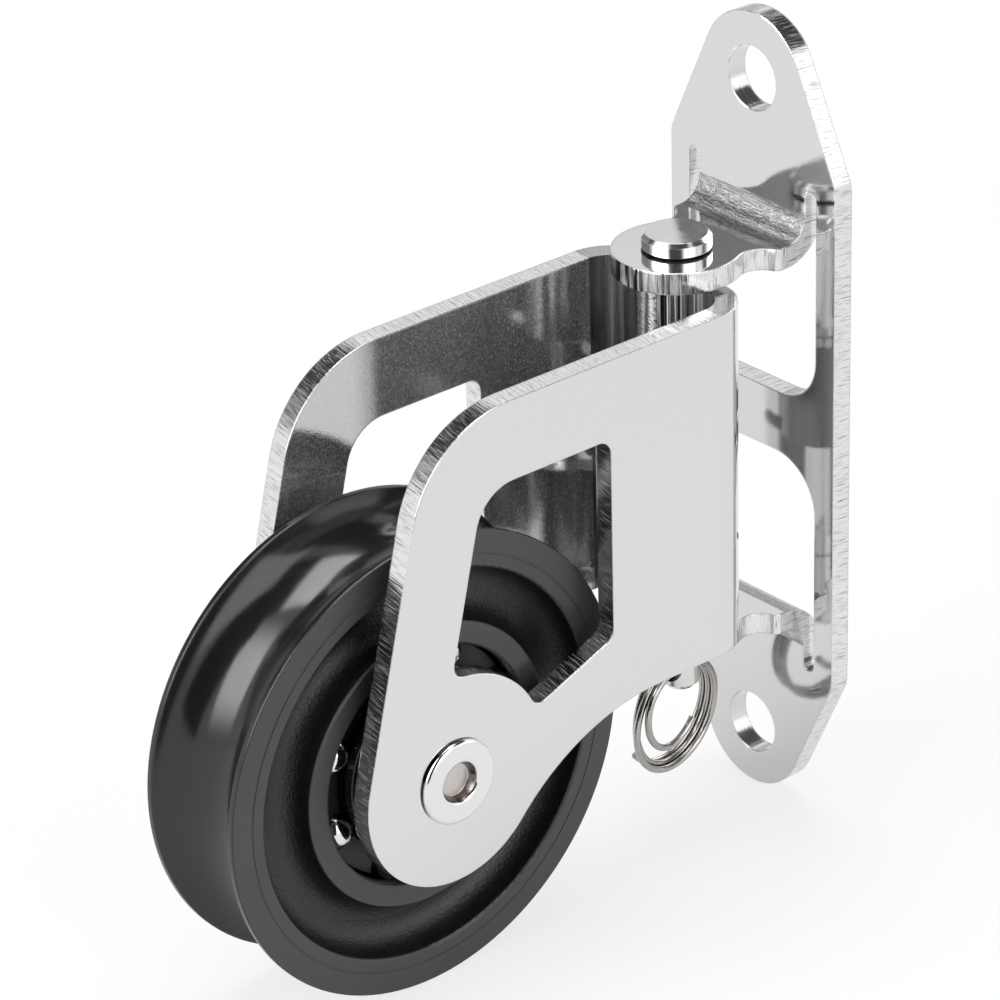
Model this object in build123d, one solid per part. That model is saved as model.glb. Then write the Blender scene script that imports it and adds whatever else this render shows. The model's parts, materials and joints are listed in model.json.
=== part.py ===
from build123d import *
import math
import os

# All sizes are in millimetres
# Origin: centre of the wall plate's back face; +Z up, the wall on the +Y side, the axle along X

# Wall bracket, one laser-cut sheet with two bolt lobes, two windows and two folded ears
bracket_sheet = 2.8
plate_width = 29.2
bolt_spacing = 90.0
bolt_hole_radius = 4.2
lobe_radius = 8.6
shoulder_height = 34.4
shoulder_round = 4.0
window_width = 22.6
crossbar_top = 4.2
crossbar_bottom = -4.0
upper_window_round = 6.2
lower_window_round = 7.2
relief_width = 1.85
relief_past_fold = 3.3
ear_fold_radius = 3.3
ear_radius = 8.1
ear_neck_round = 3.0
ear_corner_round = 0.9
pin_offset = 15.5

# Yoke, one sheet folded to a U with a formed three-strip knuckle
yoke_sheet = 2.8
yoke_gap = 21.0
yoke_height = 46.2
yoke_fold_radius = 3.6
top_play = 0.5
bottom_play = 0.9
axle_reach = 48.4
axle_drop = 23.9
boss_radius = 13.65
front_lean = 13.7
front_round = 15.3
belly_radius = 31.0
front_rail = 10.1
top_rail = 10.3
window_reach = 23.0
lower_rail_height = 9.1
lower_rail_slope = 20.8
window_front_round = 6.0
window_corner_round = 2.0
window_boss_round = 1.7
knuckle_slot = 1.9
knuckle_slot_reach = 1.7
knuckle_fold_radius = 1.5

# Hinge pin
pin_radius = 2.5
running_clearance = 0.08
pin_end_play = 0.15
pin_head_radius = 4.4
pin_head_height = 2.0
pin_head_chamfer = 0.5
pin_head_arris = 0.2
pin_tail = 7.6
pin_tail_chamfer = 0.7
cross_hole_radius = 1.7
cross_hole_drop = 4.6

# Split ring, angles in degrees
wire_radius = 0.46
coil_radius = 7.58
coil_squeeze = 1.0
coil_shift = 1.05
coil_lift = 0.45
coil_pitch = 0.96
inner_coil_radius = 5.62
inner_coil_shift = 0.95
inner_coil_tuck = 1.15
outer_end_tuck = 0.5
coil_start = 219
coil_end = 1398
coil_points = 60
ring_turn = 8.5
ring_lean = 3.0

# Sheave
sheave_radius = 30.0
sheave_width = 16.4
rim_land = 0.9
rim_edge_round = 0.2
groove_depth = 5.6
rim_wall = 4.8
hub_wall = 2.95
channel_depth = 4.4
channel_floor_round = 3.0
channel_edge_round = 0.35
witness_inset = 3.0
witness_width = 0.24
witness_depth = 0.08
hub_edge_round = 0.35

# Ball bearing
ball_radius = 2.38
ball_count = 8
ball_first_angle = 68.0
ball_circle_radius = 13.6
ball_show = 1.85
ball_row_offset = 5.0
track_clearance = 0.05
race_width = 15.8
race_boss_radius = 7.5
race_edge_round = 0.3
cage_clearance = 0.32
cage_inner_face = 1.6
cage_outer_face = 5.6
cage_pocket_clearance = 0.14

# Axle rivet
rivet_radius = 4.0
rivet_clearance = 0.06
rivet_head_radius = 5.5
rivet_head_height = 0.8
rivet_head_round = 0.6
rivet_recess_mouth = 2.7
rivet_recess_floor = 2.15
rivet_recess_depth = 1.3
rivet_floor_round = 0.2
rivet_lip_round = 0.6
rivet_dome_height = 1.3
rivet_dome_edge = 0.4

# Places that follow from the sizes above
plate_front = -bracket_sheet
pin_y = -pin_offset
yoke_top = yoke_height / 2
yoke_bottom = -yoke_height / 2
upper_ear_underside = yoke_top + top_play
upper_ear_top = upper_ear_underside + bracket_sheet
lower_ear_top = yoke_bottom - bottom_play
lower_ear_underside = lower_ear_top - bracket_sheet
upper_fold_line = upper_ear_top + ear_fold_radius
lower_fold_line = lower_ear_underside - ear_fold_radius
fold_centre_y = plate_front - ear_fold_radius
ear_root_half = window_width / 2 - relief_width
pin_hole_radius = pin_radius + running_clearance
cheek_inner = yoke_gap / 2
cheek_outer = cheek_inner + yoke_sheet
web_inner_y = pin_y - yoke_sheet / 2
web_outer_y = pin_y + yoke_sheet / 2
axle_y = pin_y - axle_reach
axle_z = -axle_drop
cross_hole_z = lower_ear_underside - cross_hole_drop
hub_bore_radius = ball_circle_radius + ball_show
race_radius = ball_circle_radius - ball_show
channel_inner_radius = hub_bore_radius + hub_wall
channel_outer_radius = sheave_radius - rim_wall
witness_radius = sheave_radius - witness_inset
overcut = 2 * sheave_radius


# A point at an angle round a centre
def polar(centre, radius, degrees):
    turn = math.radians(degrees)
    return (centre[0] + radius * math.cos(turn), centre[1] + radius * math.sin(turn))


# A circular arc from one angle to another
def arc(centre, radius, start, end):
    middle = (start + end) / 2
    return ThreePointArc(
        polar(centre, radius, start), polar(centre, radius, middle), polar(centre, radius, end)
    )


# A face of revolution about the axle, drawn as distance along X and radius, set on the axle
def turned(profile):
    return Pos(0, axle_y, axle_z) * revolve(profile, Axis.X, 360)


# Outline of the wall plate before it is cut
def plate_outline():
    half = plate_width / 2
    lobe_z = bolt_spacing / 2
    fall = lobe_z - shoulder_height
    reach = math.hypot(half, fall)
    tangent = math.degrees(math.atan2(-fall, half) + math.acos(lobe_radius / reach))
    top = arc((0, lobe_z), lobe_radius, tangent, 180 - tangent)
    bottom = arc((0, -lobe_z), lobe_radius, 180 + tangent, 360 - tangent)
    left = Polyline(top @ 1, (-half, shoulder_height), (-half, -shoulder_height), bottom @ 0)
    right = Polyline(bottom @ 1, (half, -shoulder_height), (half, shoulder_height), top @ 0)
    face = make_face([top, left, bottom, right])
    shoulders = [v for v in face.vertices() if abs(abs(v.X) - half) < 0.01]
    return fillet(shoulders, shoulder_round)


# One window of the wall plate with the two relief slots that run past the fold
def plate_window(bar_edge, fold_line, corner_round):
    way = 1 if fold_line > bar_edge else -1
    height = abs(fold_line - bar_edge)
    opening = Pos(0, (bar_edge + fold_line) / 2) * Rectangle(window_width, height)
    corners = [v for v in opening.vertices() if abs(v.Y - bar_edge) < 0.01]
    opening = fillet(corners, corner_round)
    slot_round = relief_width / 2
    slot_x = window_width / 2 - slot_round
    for x in (-slot_x, slot_x):
        straight = relief_past_fold - slot_round
        opening += Pos(x, fold_line + way * straight / 2) * Rectangle(relief_width, straight + 0.02)
        opening += Pos(x, fold_line + way * straight) * Circle(slot_round)
    return opening


# Quarter fold that carries an ear, concave towards its own bolt lobe
def ear_fold(fold_line, way):
    centre = (fold_centre_y, fold_line)
    outer = ear_fold_radius + bracket_sheet
    ring = Pos(*centre) * (Circle(outer) - Circle(ear_fold_radius))
    quadrant = Pos(centre[0] + outer / 2, centre[1] - way * outer / 2) * Rectangle(outer, outer)
    return extrude(Plane.YZ * (ring & quadrant), amount=ear_root_half, both=True)


# Flat part of an ear, a round end on a waisted neck, bored for the hinge pin
def ear_plate(underside):
    neck_reach = ear_radius + ear_neck_round
    neck_x = ear_root_half + ear_corner_round / 2
    neck_drop = math.sqrt(neck_reach**2 - neck_x**2)
    neck_y = pin_y + neck_drop
    shoulder_y = neck_y + ear_neck_round
    root = Pos(0, (fold_centre_y + neck_y) / 2) * Rectangle(2 * ear_root_half, fold_centre_y - neck_y)
    for x in (-neck_x, neck_x):
        root -= Pos(x, neck_y) * Circle(ear_neck_round)
    tip_y = pin_y + ear_radius * neck_drop / neck_reach
    tip_half = ear_radius * neck_x / neck_reach
    waist = Pos(0, (tip_y + neck_y) / 2) * Rectangle(2 * tip_half, neck_y - tip_y)
    for x in (-neck_x, neck_x):
        waist -= Pos(x, neck_y) * Circle(ear_neck_round)
    corners = [v for v in root.vertices() if v.Y < fold_centre_y - 0.01 and abs(v.X) > ear_root_half - 0.01]
    if shoulder_y < fold_centre_y - ear_corner_round:
        root = fillet(corners, ear_corner_round)
    face = root + waist + Pos(0, pin_y) * Circle(ear_radius)
    face -= Pos(0, pin_y) * Circle(pin_hole_radius)
    return extrude(Pos(0, 0, underside) * face, amount=bracket_sheet)


# Wall bracket
def make_wall_bracket():
    face = plate_outline()
    for z in (-bolt_spacing / 2, bolt_spacing / 2):
        face -= Pos(0, z) * Circle(bolt_hole_radius)
    face -= plate_window(crossbar_top, upper_fold_line, upper_window_round)
    face -= plate_window(crossbar_bottom, lower_fold_line, lower_window_round)
    body = extrude(Plane.XZ * face, amount=bracket_sheet)
    body += ear_fold(upper_fold_line, 1)
    body += ear_fold(lower_fold_line, -1)
    body += ear_plate(upper_ear_underside)
    body += ear_plate(lower_ear_underside)
    return body


# Side outline of the yoke, drawn as Y and Z
def cheek_outline():
    axle = (axle_y, axle_z)
    nose_start = 180 - front_lean
    top_left = polar(axle, boss_radius, nose_start)
    rise = yoke_top - top_left[1]
    front_corner = (top_left[0] + rise * math.tan(math.radians(front_lean)), yoke_top)
    belly_z = yoke_bottom - belly_radius
    reach = belly_radius + boss_radius
    belly_y = axle_y + math.sqrt(reach**2 - (axle_z - belly_z) ** 2)
    belly_angle = math.degrees(math.atan2(belly_z - axle_z, belly_y - axle_y))
    nose = arc(axle, boss_radius, nose_start, belly_angle + 360)
    belly = arc((belly_y, belly_z), belly_radius, belly_angle + 180, 90)
    back_y = web_outer_y + yoke_sheet
    back = Polyline(belly @ 1, (back_y, yoke_bottom), (back_y, yoke_top), front_corner, nose @ 0)
    face = make_face([nose, belly, back])
    corner = [v for v in face.vertices() if abs(v.X - front_corner[0]) < 0.01 and v.Y > yoke_top - 0.01]
    return fillet(corner, front_round)


# Window of a cheek: sloping front, level top, upright back and a lower edge round the axle boss
def cheek_window():
    top = yoke_top - top_rail
    back = pin_y - window_reach
    nose_start = 180 - front_lean
    lean = math.tan(math.radians(front_lean))
    inset = polar((axle_y, axle_z), boss_radius - front_rail, nose_start)
    front_top = (inset[0] + (top - inset[1]) * lean, top)
    front_low = (inset[0], inset[1])
    back_low = (back, yoke_bottom + lower_rail_height)
    run = back - axle_y
    low = (axle_y, back_low[1] - run * math.tan(math.radians(lower_rail_slope)))
    face = make_face(Polyline(front_top, (back, top), back_low, low, front_low, close=True))
    face -= Pos(axle_y, axle_z) * Circle(boss_radius)
    face = face.faces().sort_by(SortBy.AREA)[-1]
    front = [v for v in face.vertices() if abs(v.X - front_top[0]) < 0.01 and abs(v.Y - top) < 0.01]
    face = fillet(front, window_front_round)
    rear = [v for v in face.vertices() if abs(v.X - back) < 0.01]
    face = fillet(rear, window_corner_round)
    span = boss_radius + 0.01
    boss = [v for v in face.vertices() if math.hypot(v.X - axle_y, v.Y - axle_z) < span]
    return fillet(boss, window_boss_round)


# Section of one knuckle strip, wrapped round the pin towards the sheave (way -1) or the wall (way 1)
def knuckle_section(way):
    inner = pin_hole_radius
    outer = pin_hole_radius + yoke_sheet
    fold_outer = knuckle_fold_radius + yoke_sheet
    drop = yoke_sheet / 2 + knuckle_fold_radius
    side = math.sqrt((outer + knuckle_fold_radius) ** 2 - drop**2)
    lift = math.degrees(math.atan2(drop, side))
    left = (-side, drop)
    right = (side, drop)
    curves = [
        arc(left, knuckle_fold_radius, 270, 360 - lift),
        arc((0, 0), outer, 180 - lift, lift),
        arc(right, knuckle_fold_radius, 180 + lift, 270),
        Line((side, yoke_sheet / 2), (side, -yoke_sheet / 2)),
        arc(right, fold_outer, 270, 180 + lift),
        arc((0, 0), inner, lift, 180 - lift),
        arc(left, fold_outer, 360 - lift, 270),
        Line((-side, -yoke_sheet / 2), (-side, yoke_sheet / 2)),
    ]
    face = make_face(curves)
    if way < 0:
        face = mirror(face, Plane.XZ)
    return side, Pos(0, pin_y) * face


# Yoke: folded U, cheeks cut to outline, web slotted in three strips that wrap the pin in turn
def make_yoke():
    length = axle_reach + 2 * boss_radius
    outside = Pos(0, web_outer_y - length / 2) * Rectangle(2 * cheek_outer, length)
    outer_corners = [v for v in outside.vertices() if v.Y > web_outer_y - 0.01]
    outside = fillet(outer_corners, yoke_fold_radius + yoke_sheet)
    inside = Pos(0, web_inner_y - length / 2) * Rectangle(2 * cheek_inner, length)
    inner_corners = [v for v in inside.vertices() if v.Y > web_inner_y - 0.01]
    inside = fillet(inner_corners, yoke_fold_radius)
    body = extrude(outside - inside, amount=overcut, both=True)
    body &= extrude(Plane.YZ * cheek_outline(), amount=overcut, both=True)
    body -= extrude(Plane.YZ * cheek_window(), amount=overcut, both=True)
    axle_hole = Pos(axle_y, axle_z) * Circle(rivet_radius + rivet_clearance)
    body -= extrude(Plane.YZ * axle_hole, amount=overcut, both=True)
    side = knuckle_section(1)[0]
    body -= Pos(0, pin_y, 0) * Box(2 * side, 2 * yoke_sheet, yoke_height)
    strip_height = (yoke_height - 2 * knuckle_slot) / 3
    for index, way in enumerate((-1, 1, -1)):
        low = yoke_bottom + index * (strip_height + knuckle_slot)
        body += extrude(Pos(0, 0, low) * knuckle_section(way)[1], amount=strip_height)
    slot_length = knuckle_slot_reach + yoke_sheet
    slot_end = pin_y - knuckle_slot_reach
    slot_z = (strip_height + knuckle_slot) / 2
    for z in (-slot_z, slot_z):
        straight = Pos(slot_end + (slot_length + knuckle_slot) / 2, z) * Rectangle(slot_length, knuckle_slot)
        slot = straight + Pos(slot_end + knuckle_slot / 2, z) * Circle(knuckle_slot / 2)
        body -= extrude(Plane.YZ * slot, amount=overcut, both=True)
    return body


# Hinge pin: headed clevis pin, chamfered tail, cross-drilled for the split ring
def make_hinge_pin():
    shoulder_z = upper_ear_top + pin_end_play
    tail_z = lower_ear_underside - pin_tail
    length = shoulder_z - tail_z
    shank = Pos(0, pin_y, tail_z) * Cylinder(
        pin_radius, length, align=(Align.CENTER, Align.CENTER, Align.MIN)
    )
    tail_edge = shank.edges().filter_by(GeomType.CIRCLE).sort_by(Axis.Z)[0]
    shank = chamfer(tail_edge, pin_tail_chamfer)
    head = Pos(0, pin_y, shoulder_z) * Cylinder(
        pin_head_radius, pin_head_height, align=(Align.CENTER, Align.CENTER, Align.MIN)
    )
    head_edges = head.edges().filter_by(GeomType.CIRCLE).sort_by(Axis.Z)
    head = chamfer(head_edges[-1], pin_head_chamfer)
    lower_edge = head.edges().filter_by(GeomType.CIRCLE).sort_by(Axis.Z)[0]
    head = chamfer(lower_edge, pin_head_arris)
    body = shank + head
    drill = Cylinder(cross_hole_radius, 4 * pin_radius, rotation=(90, 0, 0))
    return body - Pos(0, pin_y, cross_hole_z) * Rot(0, 0, ring_turn) * drill


# Smooth rise from 0 to 1 over a span of degrees
def ease(angle, start, span):
    share = min(max((angle - start) / span, 0), 1)
    return share * share * (3 - 2 * share)


# Centre line of the split ring at one angle: three coils side by side, the last one sprung inwards
def ring_point(angle):
    middle_top = 90 + 2 * 360
    last_top = middle_top + 360
    first_rear = 180 + 360
    sprung = ease(angle, last_top, 90)
    squeeze = coil_squeeze / 2 * math.exp(-(((angle - first_rear) / 70) ** 2))
    radius = coil_radius + (inner_coil_radius - coil_radius) * sprung - squeeze
    along = squeeze - coil_shift - inner_coil_shift * sprung
    height = coil_lift - radius
    radius -= inner_coil_tuck * ease(angle, last_top + 150, 90)
    radius -= outer_end_tuck * (1 - ease(angle, coil_start, 80))
    turn = math.radians(angle)
    along += radius * math.cos(turn)
    height += radius * math.sin(turn)
    across = (min(angle, last_top + 130) - middle_top) / 360 * coil_pitch
    return (across, along, height)


# Split ring, set in the pin's cross hole
def make_split_ring():
    step = (coil_end - coil_start) / coil_points
    path = Spline([ring_point(coil_start + index * step) for index in range(coil_points + 1)])
    profile = Plane(origin=path @ 0, z_dir=path % 0) * Circle(wire_radius)
    ring = sweep(profile, path=path)
    return Pos(0, pin_y, cross_hole_z) * Rot(0, 0, ring_turn) * Rot(0, ring_lean, 0) * ring


# Sheave: round rope groove, a deep channel in each side face, ball tracks in the bore
def make_sheave():
    half = sheave_width / 2
    groove_half = half - rim_land
    groove_radius = (groove_half**2 + groove_depth**2) / (2 * groove_depth)
    groove_centre = sheave_radius - groove_depth + groove_radius
    blank = Pos(0, (sheave_radius + hub_bore_radius) / 2) * Rectangle(
        sheave_width, sheave_radius - hub_bore_radius
    )
    bore_corners = [v for v in blank.vertices() if v.Y < hub_bore_radius + 0.01]
    blank = fillet(bore_corners, hub_edge_round)
    profile = blank - Pos(0, groove_centre) * Circle(groove_radius)
    rim = [v for v in profile.vertices() if v.Y > sheave_radius - 0.01]
    profile = fillet(rim, rim_edge_round)
    channel_middle = (channel_outer_radius + channel_inner_radius) / 2
    channel_width = channel_outer_radius - channel_inner_radius
    floor_round = min(channel_floor_round, 0.45 * channel_width)
    for way in (-1, 1):
        channel = Pos(way * half, channel_middle) * Rectangle(2 * channel_depth, channel_width)
        floor = [v for v in channel.vertices() if abs(v.X) < half]
        profile -= fillet(floor, floor_round)
        witness = Pos(way * half, witness_radius) * Rectangle(2 * witness_depth, witness_width)
        profile -= witness
        track = Pos(way * ball_row_offset, ball_circle_radius) * Circle(ball_radius + track_clearance)
        profile -= track
    mouths = [
        v
        for v in profile.vertices()
        if abs(abs(v.X) - half) < 0.01
        and min(abs(v.Y - channel_outer_radius), abs(v.Y - channel_inner_radius)) < 0.01
    ]
    profile = fillet(mouths, channel_edge_round)
    return turned(profile)


# One half of the inner race with its ball track and the boss that meets the cheek
def make_race(way):
    half = race_width / 2
    bore = rivet_radius + rivet_clearance
    flange = Pos(half / 2, (race_radius + bore) / 2) * Rectangle(half, race_radius - bore)
    edge = [v for v in flange.vertices() if v.X > half - 0.01 and v.Y > race_radius - 0.01]
    flange = fillet(edge, race_edge_round)
    boss_middle = (race_boss_radius + bore) / 2
    boss = Pos(cheek_inner / 2, boss_middle) * Rectangle(cheek_inner, race_boss_radius - bore)
    profile = flange + boss
    profile -= Pos(ball_row_offset, ball_circle_radius) * Circle(ball_radius + track_clearance)
    if way < 0:
        profile = mirror(profile, Plane.YZ)
    return turned(profile)


# One row of bearing balls
def make_balls(way):
    balls = []
    for index in range(ball_count):
        angle = ball_first_angle + index * 360 / ball_count
        y, z = polar((axle_y, axle_z), ball_circle_radius, angle)
        balls.append(Pos(way * ball_row_offset, y, z) * Sphere(ball_radius))
    return Compound(children=balls)


# Crown cage that spaces one row of balls, open towards its own cheek
def make_cage(way):
    low = race_radius + cage_clearance
    high = hub_bore_radius - cage_clearance
    depth = cage_outer_face - cage_inner_face
    middle = (cage_outer_face + cage_inner_face) / 2
    ring = turned(Pos(-middle, (low + high) / 2) * Rectangle(depth, high - low))
    for index in range(ball_count):
        angle = ball_first_angle + index * 360 / ball_count
        y, z = polar((axle_y, axle_z), ball_circle_radius, angle)
        ring -= Pos(-ball_row_offset, y, z) * Sphere(ball_radius + cage_pocket_clearance)
    if way > 0:
        ring = mirror(ring, Plane.YZ)
    return ring


# Axle rivet: factory dome on the far cheek, rolled hollow head on the near one
def make_rivet():
    shank = Pos(0, rivet_radius / 2) * Rectangle(2 * cheek_outer, rivet_radius)
    head_middle = cheek_outer + rivet_head_height / 2
    head = Pos(head_middle, rivet_head_radius / 2) * Rectangle(rivet_head_height, rivet_head_radius)
    face_x = cheek_outer + rivet_head_height
    edge = [v for v in head.vertices() if v.X > face_x - 0.01 and v.Y > rivet_head_radius - 0.01]
    head = fillet(edge, rivet_head_round)
    floor_x = face_x - rivet_recess_depth
    wall = [(floor_x, 0), (face_x, 0), (face_x, rivet_recess_mouth), (floor_x, rivet_recess_floor)]
    recess = make_face(Polyline(wall, close=True))
    solid = shank + head - recess
    lip = [v for v in solid.vertices() if v.X > face_x - 0.01 and abs(v.Y - rivet_recess_mouth) < 0.01]
    solid = fillet(lip, rivet_lip_round)
    foot = [v for v in solid.vertices() if abs(v.X - floor_x) < 0.01 and v.Y > rivet_recess_floor - 0.01]
    solid = fillet(foot, rivet_floor_round)
    dome_rise = rivet_dome_height - rivet_dome_edge
    dome_sphere = (rivet_head_radius**2 + dome_rise**2) / (2 * dome_rise)
    dome_centre = -(cheek_outer + rivet_dome_height - dome_sphere)
    dome_block = Pos(-cheek_outer - rivet_dome_height / 2, rivet_head_radius / 2) * Rectangle(
        rivet_dome_height, rivet_head_radius
    )
    dome = dome_block & (Pos(dome_centre, 0) * Circle(dome_sphere))
    return turned(solid + dome)


# Every piece by name
pieces = {
    "wall_bracket": make_wall_bracket(),
    "yoke": make_yoke(),
    "hinge_pin": make_hinge_pin(),
    "split_ring": make_split_ring(),
    "sheave": make_sheave(),
    "inner_race_near": make_race(1),
    "inner_race_far": make_race(-1),
    "ball_row_near": make_balls(1),
    "ball_row_far": make_balls(-1),
    "ball_cage_near": make_cage(1),
    "ball_cage_far": make_cage(-1),
    "axle_rivet": make_rivet(),
}

os.makedirs("parts", exist_ok=True)
for name, piece in pieces.items():
    export_step(piece, f"parts/{name}.step")
    print(name, round(sum(solid.volume for solid in piece.solids()), 1))
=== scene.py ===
import bpy
import json
import math
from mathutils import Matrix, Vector

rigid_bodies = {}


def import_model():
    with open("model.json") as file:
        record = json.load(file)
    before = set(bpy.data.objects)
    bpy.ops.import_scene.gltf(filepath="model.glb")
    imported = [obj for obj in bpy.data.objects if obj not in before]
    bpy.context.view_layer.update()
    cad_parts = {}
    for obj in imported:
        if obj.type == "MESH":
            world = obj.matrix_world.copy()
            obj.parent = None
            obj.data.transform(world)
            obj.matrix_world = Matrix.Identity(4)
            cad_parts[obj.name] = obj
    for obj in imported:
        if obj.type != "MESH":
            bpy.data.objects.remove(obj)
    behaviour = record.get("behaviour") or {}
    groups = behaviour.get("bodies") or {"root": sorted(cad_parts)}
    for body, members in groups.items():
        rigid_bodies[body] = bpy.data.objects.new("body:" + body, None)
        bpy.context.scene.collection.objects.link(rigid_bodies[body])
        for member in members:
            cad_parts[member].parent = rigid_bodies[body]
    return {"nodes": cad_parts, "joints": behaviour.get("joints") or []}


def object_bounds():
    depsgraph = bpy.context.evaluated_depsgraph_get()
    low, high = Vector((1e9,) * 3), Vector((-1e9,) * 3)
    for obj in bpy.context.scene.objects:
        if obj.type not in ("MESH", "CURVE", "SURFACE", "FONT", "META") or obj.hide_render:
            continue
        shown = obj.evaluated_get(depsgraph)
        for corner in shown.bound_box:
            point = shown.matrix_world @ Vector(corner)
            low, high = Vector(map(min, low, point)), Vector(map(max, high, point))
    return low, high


for stray in list(bpy.data.objects):  # an empty start, however Blender was opened
    bpy.data.objects.remove(stray)

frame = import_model()
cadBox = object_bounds()
nodes = frame["nodes"]
print("pulley block: packed frame loaded,", len(nodes), "nodes")

millimetre = 0.001
jointPlaces = {joint["name"]: [round(part / millimetre, 3) for part in joint["pos_m"]]
               for joint in frame["joints"]}
hingeAxis = jointPlaces["hinge_pin_turn"]  # mm, on the pin's axis, which stands along Z
axle = jointPlaces["sheave_spin"]          # mm, on the rivet's axis, which lies along X

white = (1, 1, 1, 1)
usual = (0.25, 0.75)  # nearly all of a noise's values lie between these
arrisRays = 4         # how finely the rounding of an edge is sampled
creviceRays = 8       # and the shade of a crevice
# a Mix node's sockets for colours, by number because its other sockets have the same names
mixShare, mixFrom, mixTo, mixResult = 0, 6, 7, 2
facing = 0.5          # a face looks along an axis where its normal's share of that axis is above this
squarely = 0.9        # and looks straight along it above this


def linear(hexColour):  # sRGB hex to the linear colour that a shader takes
    parts = [int(hexColour[i:i + 2], 16) / 255 for i in (1, 3, 5)]
    return [p / 12.92 if p <= 0.04045 else ((p + 0.055) / 1.055) ** 2.4 for p in parts] + [1.0]


def addNode(tree, kind, inputs=(), **settings):  # one node, its settings, then its values and links
    made = tree.nodes.new("ShaderNode" + kind)
    for name, value in settings.items():
        setattr(made, name, value)
    given = inputs.items() if isinstance(inputs, dict) else enumerate(inputs)  # by name or in order
    for key, value in given:
        if isinstance(value, bpy.types.Node):  # a node stands for its first output
            value = value.outputs[0]
        if isinstance(value, bpy.types.NodeSocket):
            tree.links.new(value, made.inputs[key])
        else:
            made.inputs[key].default_value = value
    return made


def startMaterial(name):  # a material whose tree has the place on the piece in millimetres
    material = bpy.data.materials.new(name)
    material.use_nodes = True
    tree = material.node_tree
    tree.nodes.clear()
    place = addNode(tree, "TexCoord").outputs["Object"]
    inMillimetres = addNode(tree, "VectorMath", {"Vector": place, "Scale": 1 / millimetre}, operation="SCALE")
    return material, tree, inMillimetres


def endMaterial(material, shader):
    addNode(material.node_tree, "OutputMaterial", {"Surface": shader}, is_active_output=True)
    return material


def grain(tree, place, size, detail=2.0, roughness=0.5):  # noise in cells of size = (x, y, z) millimetres
    stretched = addNode(tree, "VectorMath", (place, [1 / s for s in size]), operation="MULTIPLY")
    cells = {"Vector": stretched, "Scale": 1.0, "Detail": detail, "Roughness": roughness}
    return addNode(tree, "TexNoise", cells)


def drawnOut(axis, along, across):  # (x, y, z) for a cell that is drawn out along one axis, or flattened
    return [along if each == axis else across for each in "xyz"]


def aboutAxis(tree, place, centre, axis):  # distance from the axis, angle round it, place along it
    local = addNode(tree, "VectorMath", (place, centre), operation="SUBTRACT")
    parts = addNode(tree, "SeparateXYZ", (local,)).outputs
    first, second, along = {"x": (1, 2, 0), "z": (0, 1, 2)}[axis]
    flat = addNode(tree, "CombineXYZ", (parts[first], parts[second]))
    distance = addNode(tree, "VectorMath", (flat,), operation="LENGTH").outputs["Value"]
    angle = addNode(tree, "Math", (parts[second], parts[first]), operation="ARCTAN2")
    return distance, angle, parts[along]


def relief(tree, layers, arris=0):  # layers of (pattern, depth), over edges rounded by arris, in millimetres
    bump = {}
    if arris:
        bump["Normal"] = addNode(tree, "Bevel", {"Radius": arris * millimetre}, samples=arrisRays)
    for pattern, depth in layers:
        bump.update({"Height": pattern, "Distance": depth * millimetre})
        bump["Normal"] = addNode(tree, "Bump", bump)
    return bump["Normal"]


def crevices(tree, reach, openness):  # mask for painted shade: 0 where steel comes closer than reach millimetres, 1 in the open
    around = addNode(tree, "AmbientOcclusion", {"Distance": reach * millimetre}, samples=creviceRays)
    return addNode(tree, "MapRange", (around.outputs["AO"], *openness))


def paint(node, materials, choose=None):  # each face gets the material that choose names, or the only one
    mesh = nodes[node].data
    mesh.materials.clear()
    order = list(materials)
    for key in order:
        mesh.materials.append(materials[key])
    for face in mesh.polygons:
        key = choose(face.center / millimetre, face.normal) if choose else order[0]
        face.material_index = order.index(key)


def fromAxle(centre):
    return math.hypot(centre.y - axle[1], centre.z - axle[2])


# camera, set by fitting it to the object in the photograph

viewpoint = {
    "location": (0.40263873, -0.38531311, 0.26988520),  # metres
    "turn": (63.0638948, 1.3691785, 49.0822311),        # degrees
    "lens": 176.207,                                    # mm
    "sensor": 36.0,                                     # mm across
    "clip": (0.01, 50.0),                               # metres, the nearest and furthest that it sees
}


def setCamera():
    camera = bpy.data.cameras.new("photoCamera")
    camera.sensor_fit = "HORIZONTAL"
    camera.sensor_width = viewpoint["sensor"]
    camera.lens = viewpoint["lens"]
    camera.clip_start, camera.clip_end = viewpoint["clip"]
    holder = bpy.data.objects.new("photoCamera", camera)
    holder.location = viewpoint["location"]
    holder.rotation_euler = [math.radians(a) for a in viewpoint["turn"]]
    bpy.context.collection.objects.link(holder)
    bpy.context.scene.camera = holder


setCamera()

# studio

studio = {                          # metres, unless a note says otherwise
    "aim": (0.0, -0.045, 0.0),      # everything in the studio stands round this point
    "roomForDiffuse": 0.35,         # the white room as the matt surfaces get it
    "clothFolds": (120, 260, 120),  # mm, soft unevenness of what metal and gloss mirror
    "clothLevel": (0.94, 1.06),     # and how far it changes the level
    "floorColour": "#DBDBDB",
    "floorWhite": (0.76, 0.50),     # its share of plain white for the camera, and for metal and gloss
    "floorFade": (110, 300),        # mm from the aim over which the camera's share grows to all of it
    "floorSize": 2.4,
    "floorDrop": 0.0002,            # the floor's clearance under the block
}

# direction (azimuth from the front, elevation) and apparent size in degrees, distance in metres
softboxes = {  # what lights the matt surfaces
    "front": {"towards": (350, 35), "spread": (42, 34), "distance": 0.9, "radiance": 4.8},
    "overhead": {"towards": (235, 79), "spread": (38, 38), "distance": 0.9, "radiance": 5.4},
    "right": {"towards": (92, 26), "spread": (36, 46), "distance": 1.0, "radiance": 1.6},
    "rightBack": {"towards": (137, 22), "spread": (40, 34), "distance": 1.2, "radiance": 1.35},
}
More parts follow.
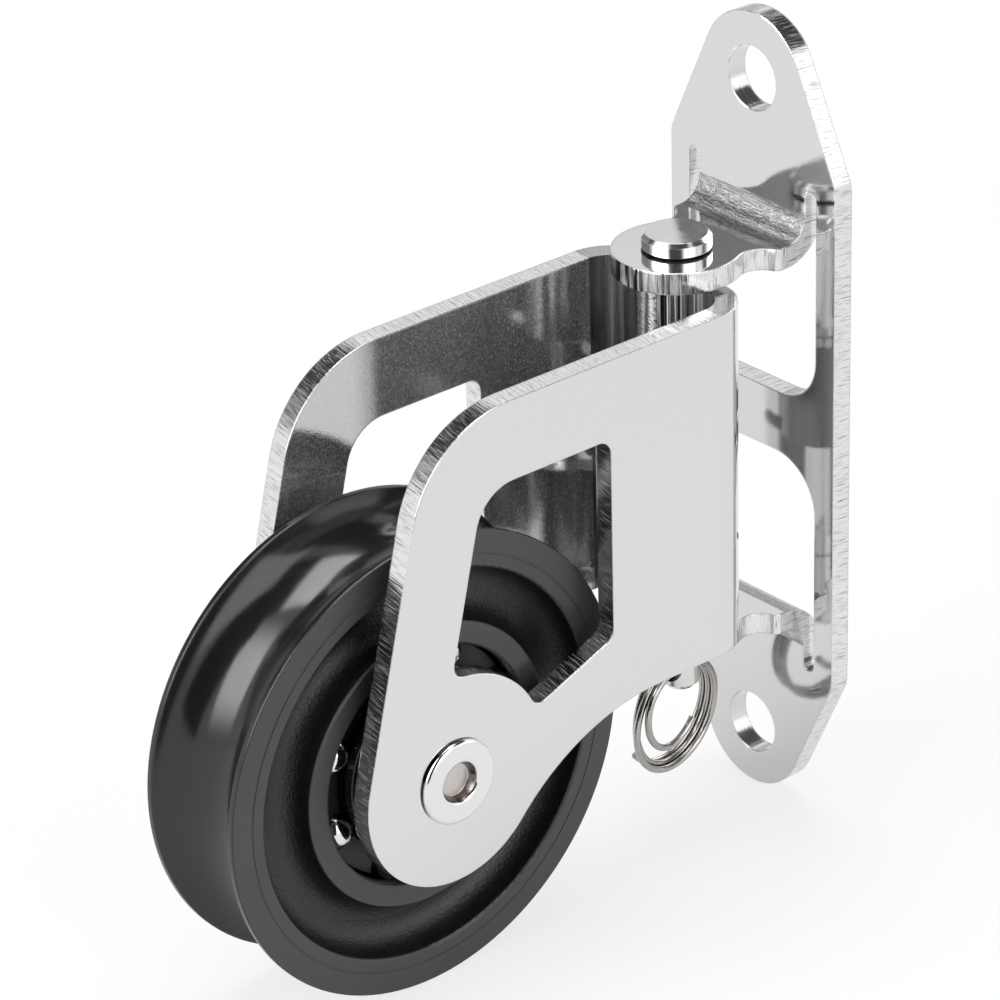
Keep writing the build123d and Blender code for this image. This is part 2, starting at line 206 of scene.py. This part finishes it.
# what metal and gloss mirror: the lights' fronts and the dark cloths between them, each with soft borders
panels = {
    "frontLight": {"towards": (352, 34.5), "spread": (49, 66), "distance": 0.90,
                   "level": 6.5, "soft": (0.12, 0.76)},
    "overheadLight": {"towards": (245, 78.5), "spread": (42, 40), "distance": 0.90,
                      "level": 6.6, "soft": (0.20, 0.20)},
    "rightLight": {"towards": (92, 28), "spread": (38, 54), "distance": 1.00,
                   "level": 2.6, "soft": (0.15, 0.30)},
    "rightBackLight": {"towards": (137, 22), "spread": (42, 34), "distance": 1.20,
                       "level": 1.45, "soft": (0.20, 0.20)},
    "cameraSide": {"towards": (46, 26), "spread": (42, 68), "distance": 0.60,
                   "level": 0.02, "soft": (0.12, 0.10)},
    "cameraTop": {"towards": (66, 67), "spread": (44, 26), "distance": 0.80,
                  "level": 0.06, "soft": (0.15, 0.15)},
    "frontLeft": {"towards": (284, 22), "spread": (58, 36), "distance": 1.00,
                  "level": 0.27, "soft": (0.14, 0.30)},
    "leftHigh": {"towards": (258, 49), "spread": (72, 22), "distance": 0.80,
                 "level": 0.05, "soft": (0.14, 0.30)},
    "backLeft": {"towards": (228, 9), "spread": (46, 34), "distance": 1.30,
                 "level": 0.62, "soft": (0.30, 0.30)},
    "tableEdge": {"towards": (30, -6), "spread": (74, 0.8), "distance": 0.70,
                  "level": 1.9, "soft": (0.10, 0.30)},
    "overBack": {"towards": (165, 50), "spread": (66, 27), "distance": 0.85,
                 "level": 0.08, "soft": (0.12, 0.20)},
}


def direction(azimuth, elevation):  # azimuth 0 is the front, -Y, and 90 is +X
    a, e = math.radians(azimuth), math.radians(elevation)
    return Vector((math.sin(a) * math.cos(e), -math.cos(a) * math.cos(e), math.sin(e)))


def placing(card):  # where a card stands, turned to face the aim
    away = direction(*card["towards"])
    place = Vector(studio["aim"]) + away * card["distance"]
    return place, away.to_track_quat("Z", "Y").to_euler()


def cardSize(card):
    return [2 * card["distance"] * math.tan(math.radians(s / 2)) for s in card["spread"]]


def rectangle(name, width, height, level=0.0):
    corners = [(x * width / 2, y * height / 2, level) for x, y in ((-1, -1), (1, -1), (1, 1), (-1, 1))]
    mesh = bpy.data.meshes.new(name)
    mesh.from_pydata(corners, [], [(0, 1, 2, 3)])
    return mesh


def addSoftbox(name, card):
    width, height = cardSize(card)
    light = bpy.data.lights.new(name, "AREA")
    light.shape = "RECTANGLE"
    light.size, light.size_y = width, height
    light.energy = card["radiance"] * math.pi * width * height  # watts
    holder = bpy.data.objects.new(name, light)
    holder.location, holder.rotation_euler = placing(card)
    holder.visible_camera = holder.visible_glossy = False
    bpy.context.collection.objects.link(holder)


def fading(tree, part, half, soft):  # 1 inside, falling to 0 at the panel's border
    reach = addNode(tree, "Math", (part,), operation="ABSOLUTE")
    return addNode(tree, "MapRange", (reach, half, half * (1 - soft)), interpolation_type="SMOOTHSTEP")


def addPanel(name, card):  # seen by metal and gloss only
    width, height = cardSize(card)
    material, tree, place = startMaterial(name + "Cloth")
    parts = addNode(tree, "SeparateXYZ", (place,)).outputs
    halves = (width / 2 / millimetre, height / 2 / millimetre)
    across, up = [fading(tree, parts[k], halves[k], card["soft"][k]) for k in (0, 1)]
    inside = addNode(tree, "Math", (across, up), operation="MULTIPLY")
    folds = grain(tree, place, studio["clothFolds"])
    levels = [card["level"] * share for share in studio["clothLevel"]]
    level = addNode(tree, "MapRange", (folds, *usual, *levels))
    glow = addNode(tree, "Emission", {"Color": white, "Strength": level})
    clear = addNode(tree, "BsdfTransparent")
    endMaterial(material, addNode(tree, "MixShader", (inside, clear, glow)))
    mesh = rectangle(name, width, height)
    mesh.materials.append(material)
    holder = bpy.data.objects.new(name, mesh)
    holder.location, holder.rotation_euler = placing(card)
    holder.visible_camera = holder.visible_diffuse = holder.visible_shadow = False
    holder.visible_transmission = holder.visible_volume_scatter = False
    bpy.context.collection.objects.link(holder)


def addFloor():
    mesh = rectangle("floor", studio["floorSize"], studio["floorSize"], cadBox[0].z - studio["floorDrop"])
    material, tree, place = startMaterial("paintedFloor")
    matt = addNode(tree, "BsdfDiffuse", {"Color": linear(studio["floorColour"])})
    plain = addNode(tree, "Emission", {"Color": white, "Strength": 1.0})
    ray = addNode(tree, "LightPath").outputs
    toCamera, toGloss = studio["floorWhite"]
    aim = Vector(studio["aim"]) / millimetre
    away = addNode(tree, "VectorMath", (place, aim), operation="DISTANCE").outputs["Value"]
    fade = (away, *studio["floorFade"], toCamera, 1.0)
    whiter = addNode(tree, "MapRange", fade, interpolation_type="SMOOTHSTEP")
    share = addNode(tree, "Math", (ray["Is Glossy Ray"], toGloss), operation="MULTIPLY")
    share = addNode(tree, "Math", (ray["Is Camera Ray"], whiter, share), operation="MULTIPLY_ADD")
    endMaterial(material, addNode(tree, "MixShader", (share, matt, plain)))
    mesh.materials.append(material)
    floor = bpy.data.objects.new("floor", mesh)
    bpy.context.collection.objects.link(floor)


def setRoom():  # a white room, seen at full white by the camera, metal and gloss
    world = bpy.data.worlds.new("whiteRoom")
    bpy.context.scene.world = world
    world.use_nodes = True
    tree = world.node_tree
    tree.nodes.clear()
    ray = addNode(tree, "LightPath").outputs
    seen = addNode(tree, "Math", (ray["Is Camera Ray"], ray["Is Glossy Ray"]), operation="MAXIMUM")
    seen = addNode(tree, "Math", (seen, ray["Is Transmission Ray"]), operation="MAXIMUM")
    strength = addNode(tree, "MapRange", (seen, 0.0, 1.0, studio["roomForDiffuse"], 1.0))
    background = addNode(tree, "Background", {"Color": white, "Strength": strength})
    addNode(tree, "OutputWorld", {"Surface": background})


bpy.context.scene.view_settings.view_transform = "Standard"
setRoom()
addFloor()
for name, card in softboxes.items():
    addSoftbox(name, card)
for name, card in panels.items():
    addPanel(name, card)
print("pulley block: camera and studio set")

# stainless sheet: wall bracket and yoke

yoke = {                          # mm
    "cheekBack": -20.5,           # the flat cheeks end here and the folds begin
    "cheekMiddle": 11.9,          # half way through a cheek
    "cornerCentre": 6.9,          # what each corner is folded round, to either side of the middle
    "cornerMiddle": 5.0,          # from there to half way through the sheet
    "buffedAbove": (11.0, 15.0),  # the buff reached the knuckle above these heights
    "buffedWithin": (5.2, 6.2),   # and this near to its middle
}
sheet = {
    "colour": "#DADADB",
    "arris": 0.32,                # mm, edge rounded by tumbling
    "mopLine": (9.0, 0.10),       # mm along and across the mop's lines, drawn coarser than the real 0.02
    "mopDepth": 0.0008,
    "speck": 0.26,                # mm, the fine speckle that polishing leaves
    "speckRoughness": 0.7,
    "specks": (0.36, 0.60),       # where it turns from dark to bright
    "hazes": (0.36, 0.64),        # and where its haze begins and ends
}
# roughness, size and depth in mm of the orange peel that each side keeps, how dark the side is (on the
# cheeks' inner faces this is painted shade), the share of light that its haze scatters, and how much darker
# its specks are
polish = {
    "cheekOutside": {"roughness": (0.04, 0.08), "peel": 0.30, "depth": 0.0012,
                     "shade": 1.0, "haze": (0.0, 0.01), "speckle": 0.02},
    # the cheeks' inner faces: painted shade, 0.84 of the outside's colour
    "cheekInside": {"roughness": (0.04, 0.09), "peel": 0.20, "depth": 0.0045,
                    "shade": 0.84, "haze": (0.07, 0.29), "speckle": 0.12},
    "plate": {"roughness": (0.035, 0.08), "peel": 0.22, "depth": 0.0030,
              "shade": 0.96, "haze": (0.0, 0.04), "speckle": 0.03},
    "ear": {"roughness": (0.04, 0.09), "peel": 0.20, "depth": 0.0030,
            "shade": 0.96, "haze": (0.0, 0.06), "speckle": 0.03},
}


def steel(tree, colour, roughness, bent, **more):  # stainless steel, however its surface was made
    inputs = {"Base Color": colour, "Metallic": 1.0, "Roughness": roughness, "Normal": bent}
    inputs.update(more)
    return addNode(tree, "BsdfPrincipled", inputs)


def polishedSheet(name, side, across):
    # mirror-polished 316 sheet: clear reflections, fine specks in the dark ones, a bright line on each arris
    finish = polish[side]
    material, tree, place = startMaterial(name)
    peel = grain(tree, place, [finish["peel"]] * 3, detail=3.0)
    long, thin = sheet["mopLine"]
    lines = grain(tree, place, drawnOut(across, thin, long))
    specks = grain(tree, place, [sheet["speck"]] * 3, roughness=sheet["speckRoughness"])
    bent = relief(tree, [(peel, finish["depth"]), (lines, sheet["mopDepth"])], sheet["arris"])
    # the side's colour times its shade, which on the cheeks' inner faces is painted shade
    light = [part * finish["shade"] for part in linear(sheet["colour"])[:3]]
    speck = [part * (1 - finish["speckle"]) for part in light]
    speckled = addNode(tree, "MapRange", (specks, *sheet["specks"]))
    tints = {mixShare: speckled, mixFrom: speck + [1.0], mixTo: light + [1.0]}
    tint = addNode(tree, "Mix", tints, data_type="RGBA").outputs[mixResult]
    clearness = [1 - share for share in finish["haze"]]
    clear = addNode(tree, "MapRange", (specks, *sheet["hazes"], *clearness))
    dull = addNode(tree, "MapRange", (peel, *usual, *finish["roughness"]))
    return endMaterial(material, steel(tree, tint, dull, bent, Metallic=clear))


laserCut = {
    "colour": "#E2E2E2",
    "foldShadedColour": "#B2B1B0",      # painted shade: greyer where the sheet is folded
    "valley": "#A09E9C",          # the scale that stays in the deepest striations
    "valleys": (0.30, 0.48),      # where the striations turn from scale to bright steel
    "roughness": (0.05, 0.20),
    "stroke": (9.0, 0.34),        # mm along and between the laser's striations
    "depth": 0.052,
    "fineStroke": (2.2, 0.14),    # and the finer ones
    "fineDepth": 0.010,
    "darkReflection": "#35332F",          # painted dark reflections: wide streaks, crisp and nearly black
    "darkReflectionStroke": (16.0, 0.80),
    "darkReflections": (0.50, 0.54),
    "darkReflectionFree": (0.2, 0.5),     # how far a face turns towards +X before it has none
    "burrs": (0.54, 0.64),        # the highest strokes, matt
    "burrClear": 0.77,            # they scatter the rest of the light, so they show in dark reflections too
}


def slanted(tree, place, through, slant):  # moved along the edge the more, the deeper it is in the sheet
    normal = addNode(tree, "TexCoord").outputs["Normal"]
    axis = drawnOut(through, 1.0, 0.0)
    tangent = addNode(tree, "VectorMath", (normal, axis), operation="CROSS_PRODUCT")
    depth = addNode(tree, "VectorMath", (place, axis), operation="DOT_PRODUCT").outputs["Value"]
    lag = addNode(tree, "VectorMath", {"Vector": tangent, "Scale": slant}, operation="SCALE")
    lag = addNode(tree, "VectorMath", {"Vector": lag, "Scale": depth}, operation="SCALE")
    return addNode(tree, "VectorMath", (place, lag), operation="ADD")


def unfolded(tree, place):  # round the fold, up it and out from what the sheet is folded round
    parts = addNode(tree, "SeparateXYZ", (place,)).outputs
    side = addNode(tree, "Math", (parts[0],), operation="ABSOLUTE")
    halved = addNode(tree, "CombineXYZ", (side, parts[1], parts[2]))
    distance, angle, up = aboutAxis(tree, halved, (yoke["cornerCentre"], yoke["cheekBack"], 0.0), "z")
    arc = addNode(tree, "Math", (angle, yoke["cornerMiddle"]), operation="MULTIPLY")
    return addNode(tree, "CombineXYZ", (arc, up, distance))


def laserEdge(name, through=None, slant=0.0, deep=1.0, darkReflected=False, colour=laserCut["colour"]):
    # laser-cut edge of the same sheet, tumbled: bright and dark strokes, aslant through the thickness,
    # or, on the edge of a fold, where through is left out, running out from what it is folded round
    material, tree, place = startMaterial(name)
    lagged = slanted(tree, place, through, slant) if through else unfolded(tree, place)
    through = through or "z"
    strokes = grain(tree, lagged, drawnOut(through, *laserCut["stroke"]), detail=1.0)
    fine = grain(tree, lagged, drawnOut(through, *laserCut["fineStroke"]), detail=3.0)
    layers = [(strokes, laserCut["depth"] * deep), (fine, laserCut["fineDepth"] * deep)]
    bent = relief(tree, layers, sheet["arris"])
    bright = addNode(tree, "MapRange", (fine, *laserCut["valleys"]))
    tints = {mixShare: bright, mixFrom: linear(laserCut["valley"]), mixTo: linear(colour)}
    tint = addNode(tree, "Mix", tints, data_type="RGBA").outputs[mixResult]
    if darkReflected:
        # painted dark reflections: nearly black streaks on the faces that don't turn towards +X
        streaks = grain(tree, lagged, drawnOut(through, *laserCut["darkReflectionStroke"]), detail=1.0)
        streaked = addNode(tree, "MapRange", (streaks, *laserCut["darkReflections"]))
        normal = addNode(tree, "TexCoord").outputs["Normal"]
        sideways = addNode(tree, "SeparateXYZ", (normal,))
        front = addNode(tree, "MapRange", (sideways, *laserCut["darkReflectionFree"], 1.0, 0.0))
        dark = addNode(tree, "Math", (streaked, front), operation="MULTIPLY")
        tints = {mixShare: dark, mixFrom: tint, mixTo: linear(laserCut["darkReflection"])}
        tint = addNode(tree, "Mix", tints, data_type="RGBA").outputs[mixResult]
    clear = addNode(tree, "MapRange", (fine, *laserCut["burrs"], 1.0, laserCut["burrClear"]))
    dull = addNode(tree, "MapRange", (fine, *usual, *laserCut["roughness"]))
    return endMaterial(material, steel(tree, tint, dull, bent, Metallic=clear))


drilled = {
    "colour": "#D8D8D8",
    "roughness": (0.06, 0.20),
    "ring": (0.22, 30.0),         # mm along the bore between the drill's rings, and round it
    "ringDepth": 0.010,
    "chatter": (6.0, 0.5),        # mm along and across the marks that run down the bore
    "chatterDepth": 0.020,
}


def drilledBore(name, along):
    # bolt hole, drilled and deburred: clear reflections crossed by a few tool rings
    material, tree, place = startMaterial(name)
    rings = grain(tree, place, drawnOut(along, *drilled["ring"]), detail=3.0)
    chatter = grain(tree, place, drawnOut(along, *drilled["chatter"]))
    bent = relief(tree, [(rings, drilled["ringDepth"]), (chatter, drilled["chatterDepth"])], sheet["arris"])
    dull = addNode(tree, "MapRange", (rings, *usual, *drilled["roughness"]))
    return endMaterial(material, steel(tree, linear(drilled["colour"]), dull, bent))


# where the sheet is bent: "line" is in mm along and across the strain lines; where "broken", the scuffed
# places are patches where a line and a speck meet, else bands with crisp borders, which on the knuckle are
# painted dark reflections
pressBrake = {
    "colour": "#D2D2D2",
    "scuffAndPaintedBand": "#8A8988",           # matt grey where the tool rubbed
    "scuffAndPaintedBands": (0.16, 0.34),
    "broken": True,
    "roughness": (0.10, 0.24),
    "line": (1.3, 0.11),
    "detail": 4.0,
    "depth": 0.014,
    "speckle": 0.14,
    "speckleDepth": 0.028,
}
knuckleRolling = {
    "colour": "#D0CFCE",
    "scuffAndPaintedBand": "#33312F",           # painted dark reflections: nearly black upright bands
    "scuffAndPaintedBands": (0.43, 0.47),
    "broken": False,
    "roughness": (0.03, 0.08),
    "line": (90.0, 0.85),
    "detail": 2.0,
    "depth": 0.120,
    "speckle": 0.2,
    "speckleDepth": 0.0003,
}
knuckleMill = {                   # the strips that the buff can't reach behind the sheave: grey mill finish, its darker colour also painted shade
    "colour": "#858483",
    "scuffAndPaintedBand": "#737271",
    "scuffAndPaintedBands": (0.16, 0.34),
    "broken": True,
    "roughness": (0.22, 0.36),
    "line": (40.0, 0.30),
    "detail": 3.0,
    "depth": 0.020,
    "speckle": 0.16,
    "speckleDepth": 0.004,
}


def bendShader(tree, place, bending, along):
    strain = grain(tree, place, drawnOut(along, *bending["line"]), detail=bending["detail"])
    speckle = grain(tree, place, [bending["speckle"]] * 3)
    bent = relief(tree, [(strain, bending["depth"]), (speckle, bending["speckleDepth"])], sheet["arris"])
    # scuffed places, and on the buffed knuckle the painted dark reflection bands
    scuffAndBandMask = strain
    if bending["broken"]:
        scuffAndBandMask = addNode(tree, "Math", (strain, speckle), operation="MULTIPLY")
    clearOfScuffBandAndShadow = addNode(tree, "MapRange", (scuffAndBandMask, *bending["scuffAndPaintedBands"]))
    tints = {mixShare: clearOfScuffBandAndShadow, mixFrom: linear(bending["scuffAndPaintedBand"]), mixTo: linear(bending["colour"])}
    tint = addNode(tree, "Mix", tints, data_type="RGBA").outputs[mixResult]
    dull = addNode(tree, "MapRange", (strain, *usual, *bending["roughness"]))
    return steel(tree, tint, dull, bent)


def brakeFold(name):
    # sheet stretched round a press tool: strain lines along the bend and a speckle break up the mirror
    material, tree, place = startMaterial(name)
    return endMaterial(material, bendShader(tree, place, pressBrake, "x"))


def rolledKnuckle(name):
    # sheet rolled round the pin: crisp upright bands of painted dark reflection where the buff reached, grey
    # mill finish elsewhere, its darkness partly painted shade
    material, tree, place = startMaterial(name)
    buffed = bendShader(tree, place, knuckleRolling, "z")
    # grey mill finish, darker as painted shade behind the sheave
    mill = bendShader(tree, place, knuckleMill, "z")
    parts = addNode(tree, "SeparateXYZ", (place,)).outputs
    side = addNode(tree, "Math", (parts[0],), operation="ABSOLUTE")
    high = addNode(tree, "MapRange", (parts[2], *yoke["buffedAbove"]))
    within = addNode(tree, "MapRange", (side, *yoke["buffedWithin"], 1.0, 0.0))
    reach = addNode(tree, "Math", (high, within), operation="MULTIPLY")
    return endMaterial(material, addNode(tree, "MixShader", (reach, mill, buffed)))


wallBracket = {                   # mm
    "plateFront": -2.81,          # the flat plate ends here and the folds begin
    "foldFront": -6.1,            # the folds end here and the ears begin
    "boltHoleAt": 45.0,
    "boltHoleRadius": 4.4,        # a little more than the hole, so that it takes in the broken edge
}


def bracketFinish(centre, normal):
    if centre.y > wallBracket["plateFront"]:
        if abs(normal.y) > facing:
            return "plateFace"
        fromHole = math.hypot(centre.x, abs(centre.z) - wallBracket["boltHoleAt"])
        return "boltHole" if fromHole < wallBracket["boltHoleRadius"] else "plateEdge"
    if centre.y > wallBracket["foldFront"]:
        return "foldEdge" if abs(normal.x) > facing else "fold"
    return "earEdge" if abs(normal.z) < facing else "earFace"


paint("wall_bracket", {
    "plateFace": polishedSheet("mirrorPolishedPlate", "plate", across="x"),
    "plateEdge": laserEdge("laserCutPlateEdge", through="y", slant=0.1, deep=0.55),
    "boltHole": drilledBore("drilledBoltHole", along="y"),
    "fold": brakeFold("pressBrakeFold"),
    "foldEdge": laserEdge("laserCutFoldEdge", through="y", deep=0.7),
    "earFace": polishedSheet("mirrorPolishedEar", "ear", across="y"),
    # its rims carry painted dark reflections
    "earEdge": laserEdge("laserCutEarEdge", through="z", darkReflected=True),
}, bracketFinish)


def yokeFinish(centre, normal):
    if centre.y < yoke["cheekBack"]:
        if abs(normal.x) < facing:
            return "cheekEdge"
        return "cheekOutside" if abs(centre.x) > yoke["cheekMiddle"] else "cheekInside"
    if abs(normal.z) > facing:
        return "knuckleEdge"
    fromCorner = math.hypot(abs(centre.x) - yoke["cornerCentre"], centre.y - yoke["cheekBack"])
    outside = abs(centre.x) > yoke["cornerCentre"] and fromCorner > yoke["cornerMiddle"]
    return "cheekOutside" if outside else "knuckle"


paint("yoke", {
    "cheekOutside": polishedSheet("mirrorPolishedCheek", "cheekOutside", across="y"),
    "cheekInside": polishedSheet("tumbledCheekInsidePaintedShade", "cheekInside", across="y"),
    "cheekEdge": laserEdge("laserCutCheekEdge", through="x", slant=0.18),
    "knuckle": rolledKnuckle("rolledKnuckle"),
    # its edges take the greyer colour: painted shade
    "knuckleEdge": laserEdge("laserCutKnuckleEdge", deep=0.6, colour=laserCut["foldShadedColour"]),
}, yokeFinish)
print("pulley block: stainless sheet finished")

# hinge pin, split ring, rivet, balls

hingePin = {
    "colour": "#DAD9D8",
    "paintedShade": "#100F0F",              # painted shade: the line under the head
    "shadeReach": 0.9,               # mm, how near the ear is there
    "shadeOpenness": (0.40, 0.62),   # where the painted shade is full and where it ends
    "roughness": (0.08, 0.16),
    "arris": 0.1,                  # mm
    "feed": 0.11,                  # mm between tool marks
    "depth": 0.0015,
    "fan": 0.85,                   # how far the rings draw a highlight out
}


def turnedPin(name):
    # stainless bar, turned and lightly polished: rings that fan the head's highlight, marks on the shank,
    # painted shade under the head
    material, tree, place = startMaterial(name)
    distance, _, along = aboutAxis(tree, place, hingeAxis, "z")
    lathe = addNode(tree, "CombineXYZ", (distance, along))  # the same all round
    marks = grain(tree, lathe, (hingePin["feed"], hingePin["feed"], 1))
    bent = relief(tree, [(marks, hingePin["depth"])], hingePin["arris"])
    # painted shade under the head, where the ear comes near
    openness = crevices(tree, hingePin["shadeReach"], hingePin["shadeOpenness"])
    tints = {mixShare: openness, mixFrom: linear(hingePin["paintedShade"]), mixTo: linear(hingePin["colour"])}
    tint = addNode(tree, "Mix", tints, data_type="RGBA").outputs[mixResult]
    dull = addNode(tree, "MapRange", (marks, *usual, *hingePin["roughness"]))
    rings = addNode(tree, "Tangent", direction_type="RADIAL", axis="Z")
    return endMaterial(material, steel(tree, tint, dull, bent, Anisotropic=hingePin["fan"], Tangent=rings))


paint("hinge_pin", {"pin": turnedPin("turnedStainlessPin")})

splitRing = {
    "centre": (0, -16.5, -38.6),   # mm
    "turn": 8.5,                   # degrees, how the ring stands in the pin
    "colour": "#B4B1AD",
    "paintedShade": "#1A1817",              # painted shade between the coils
    "shadeReach": 0.55,              # mm
    "shadeOpenness": (0.36, 0.70),
    "roughness": (0.14, 0.28),
    "line": 0.09,                  # mm between the die's lines, drawn coarser than the real 0.02
    "lineTurn": 0.8,               # radians of the coil that a line runs for
    "depth": 0.006,
}


def drawnWire(name):
    # spring wire pulled through a die: greyer than the sheet, with lines that follow the coil and painted
    # shade between the coils
    material, tree, place = startMaterial(name)
    turning = {"Vector": place, "Center": splitRing["centre"], "Angle": math.radians(-splitRing["turn"])}
    upright = addNode(tree, "VectorRotate", turning, rotation_type="Z_AXIS")
    distance, angle, along = aboutAxis(tree, upright, splitRing["centre"], "x")
    coil = addNode(tree, "CombineXYZ", (distance, along, angle))
    lines = grain(tree, coil, (splitRing["line"], splitRing["line"], splitRing["lineTurn"]))
    bent = relief(tree, [(lines, splitRing["depth"])])
    # painted shade where the coils come near each other
    openness = crevices(tree, splitRing["shadeReach"], splitRing["shadeOpenness"])
    tints = {mixShare: openness, mixFrom: linear(splitRing["paintedShade"]), mixTo: linear(splitRing["colour"])}
    tint = addNode(tree, "Mix", tints, data_type="RGBA").outputs[mixResult]
    dull = addNode(tree, "MapRange", (lines, *usual, *splitRing["roughness"]))
    return endMaterial(material, steel(tree, tint, dull, bent))


paint("split_ring", {"wire": drawnWire("drawnSpringWire")})

axleRivet = {
    "nearHead": 10.0,              # mm, only the head beyond this is hollow
    "recessRadius": 2.62,          # mm, inside this its faces are the hollow's
    "shadow": "#2E2D2C",           # painted shadow: the dark line where each head's rim meets the cheek
    "rim": (4.9, 5.1),             # mm from the axle, where the rim begins
    "foot": (13.46, 13.68),        # mm from the middle of the block, where the painted shadow ends
    "markTurn": 0.9,               # radians that a spinning mark runs for
    "head": {"colour": "#E2E2E2", "roughness": (0.03, 0.12), "mark": 0.35, "depth": 0.0025},
    "recess": {"colour": "#CAC4C0", "roughness": (0.28, 0.42), "mark": 0.18, "depth": 0.006},
    # the hollow's wall is darker than its floor: painted shade
    "recessWall": {"colour": "#938C88", "roughness": (0.12, 0.30), "mark": 0.30, "depth": 0.012},
}


def formedRivet(name, part):
    # stainless rivet rolled over by a spinning tool: bright rim with faint rings, satin in the hollow,
    # painted shadow at the rim's foot and painted shade on the hollow's wall
    material, tree, place = startMaterial(name)
    distance, angle, along = aboutAxis(tree, place, axle, "x")
    spun = addNode(tree, "CombineXYZ", (distance, angle, along))
    marks = grain(tree, spun, (part["mark"], axleRivet["markTurn"], part["mark"]))
    bent = relief(tree, [(marks, part["depth"])])
    outwards = addNode(tree, "Math", (along,), operation="ABSOLUTE")
    # painted shadow: dark near the cheek, outside the rim
    above = addNode(tree, "MapRange", (outwards, *axleRivet["foot"]))
    within = addNode(tree, "MapRange", (distance, *axleRivet["rim"], 1.0, 0.0))
    clearOfScuffBandAndShadow = addNode(tree, "Math", (above, within), operation="MAXIMUM")
    tints = {mixShare: clearOfScuffBandAndShadow, mixFrom: linear(axleRivet["shadow"]), mixTo: linear(part["colour"])}
    tint = addNode(tree, "Mix", tints, data_type="RGBA").outputs[mixResult]
    dull = addNode(tree, "MapRange", (marks, *usual, *part["roughness"]))
    return endMaterial(material, steel(tree, tint, dull, bent))


def rivetFinish(centre, normal):
    if fromAxle(centre) > axleRivet["recessRadius"] or centre.x < axleRivet["nearHead"]:
        return "head"
    return "recess" if normal.x > squarely else "recessWall"


paint("axle_rivet", {
    "head": formedRivet("spunRivetHead", axleRivet["head"]),
    "recess": formedRivet("spunRivetRecess", axleRivet["recess"]),
    "recessWall": formedRivet("spunRivetRecessWall", axleRivet["recessWall"]),
}, rivetFinish)

bearingBall = {
    "colour": "#E0E0E1",
    "roughness": (0.02, 0.07),
    "pit": 0.12,                   # mm, drawn coarser than the real 0.01
    "depth": 0.0004,
}


def lappedBall(name):
    # hardened steel ball, lapped: almost a perfect mirror with a trace of pitting
    material, tree, place = startMaterial(name)
    pits = grain(tree, place, [bearingBall["pit"]] * 3)
    bent = relief(tree, [(pits, bearingBall["depth"])])
    dull = addNode(tree, "MapRange", (pits, *usual, *bearingBall["roughness"]))
    return endMaterial(material, steel(tree, linear(bearingBall["colour"]), dull, bent))


for row in ("ball_row_near", "ball_row_far"):
    paint(row, {"ball": lappedBall("lappedSteelBall")})
print("pulley block: pin, ring, rivet and balls finished")

# sheave, races, cages

sheave = {             # mm
    "bore": 17.0,      # from the axle to where the ring round the bearing ends
    "rim": 25.3,       # to the channel's outer wall
    "flankEnd": 28.0,  # to where the flat flank gives way to the rim's rounding
    "flank": 7.8,      # from the middle to a little inside each flank
    "web": 3.7,        # from the middle to a little inside the channels' floors
}
plastic = {
    "ior": 1.54,
    "cloud": 5.0,             # mm, slow drift between the two colours
    "sparkRoughness": 0.6,
}
# sRGB colours, roughness, rounding of the edges in mm, and size and depth in mm of the mould's grain,
# which is drawn coarser than the real 0.05 where the tool was spark-eroded
moulded = {
    "groove": {"colours": ("#151516", "#1B1B1C"), "roughness": (0.12, 0.18), "arris": 0.25,
               "grain": 1.8, "depth": 0.006},
    "ring": {"colours": ("#2D2D2D", "#363636"), "roughness": (0.36, 0.48), "arris": 0.12,
             "grain": 0.20, "depth": 0.006},
    "channel": {"colours": ("#0A0A0A", "#181818"), "roughness": (0.24, 0.45), "arris": 0.12,
                "grain": 0.36, "depth": 0.120},
    "race": {"colours": ("#171718", "#202021"), "roughness": (0.20, 0.32), "arris": 0.12,
             "grain": 0.20, "depth": 0.003},
    "cage": {"colours": ("#131313", "#1C1C1C"), "roughness": (0.38, 0.52), "arris": 0.12,
             "grain": 0.25, "depth": 0.006},
}


def mouldedPlastic(name, part):
    # black acetal, nylon for the cages: deep gloss where the mould was polished, granular where eroded
    material, tree, place = startMaterial(name)
    spark = grain(tree, place, [part["grain"]] * 3, detail=3.0, roughness=plastic["sparkRoughness"])
    bent = relief(tree, [(spark, part["depth"])], part["arris"])
    first, second = part["colours"]
    cloud = grain(tree, place, [plastic["cloud"]] * 3, detail=3.0)
    tints = {mixShare: cloud, mixFrom: linear(first), mixTo: linear(second)}
    tint = addNode(tree, "Mix", tints, data_type="RGBA").outputs[mixResult]
    dull = addNode(tree, "MapRange", (spark, *usual, *part["roughness"]))
    body = {"Base Color": tint, "Metallic": 0.0, "IOR": plastic["ior"], "Roughness": dull, "Normal": bent}
    return endMaterial(material, addNode(tree, "BsdfPrincipled", body))


def sheaveFinish(centre, normal):
    distance = fromAxle(centre)
    flat = distance < sheave["flankEnd"] or abs(normal.x) > squarely
    if distance < sheave["bore"] or abs(centre.x) > sheave["flank"] and flat:
        return "ring"
    return "channel" if distance < sheave["rim"] and abs(centre.x) > sheave["web"] else "groove"


paint("sheave", {
    "groove": mouldedPlastic("polishedMouldAcetal", moulded["groove"]),
    "ring": mouldedPlastic("satinMouldAcetal", moulded["ring"]),
    "channel": mouldedPlastic("erodedMouldAcetal", moulded["channel"]),
}, sheaveFinish)
for side in ("near", "far"):
    paint("inner_race_" + side, {"race": mouldedPlastic("machinedAcetalRace", moulded["race"])})
    paint("ball_cage_" + side, {"cage": mouldedPlastic("mouldedNylonCage", moulded["cage"])})
print("pulley block: sheave and bearing finished")
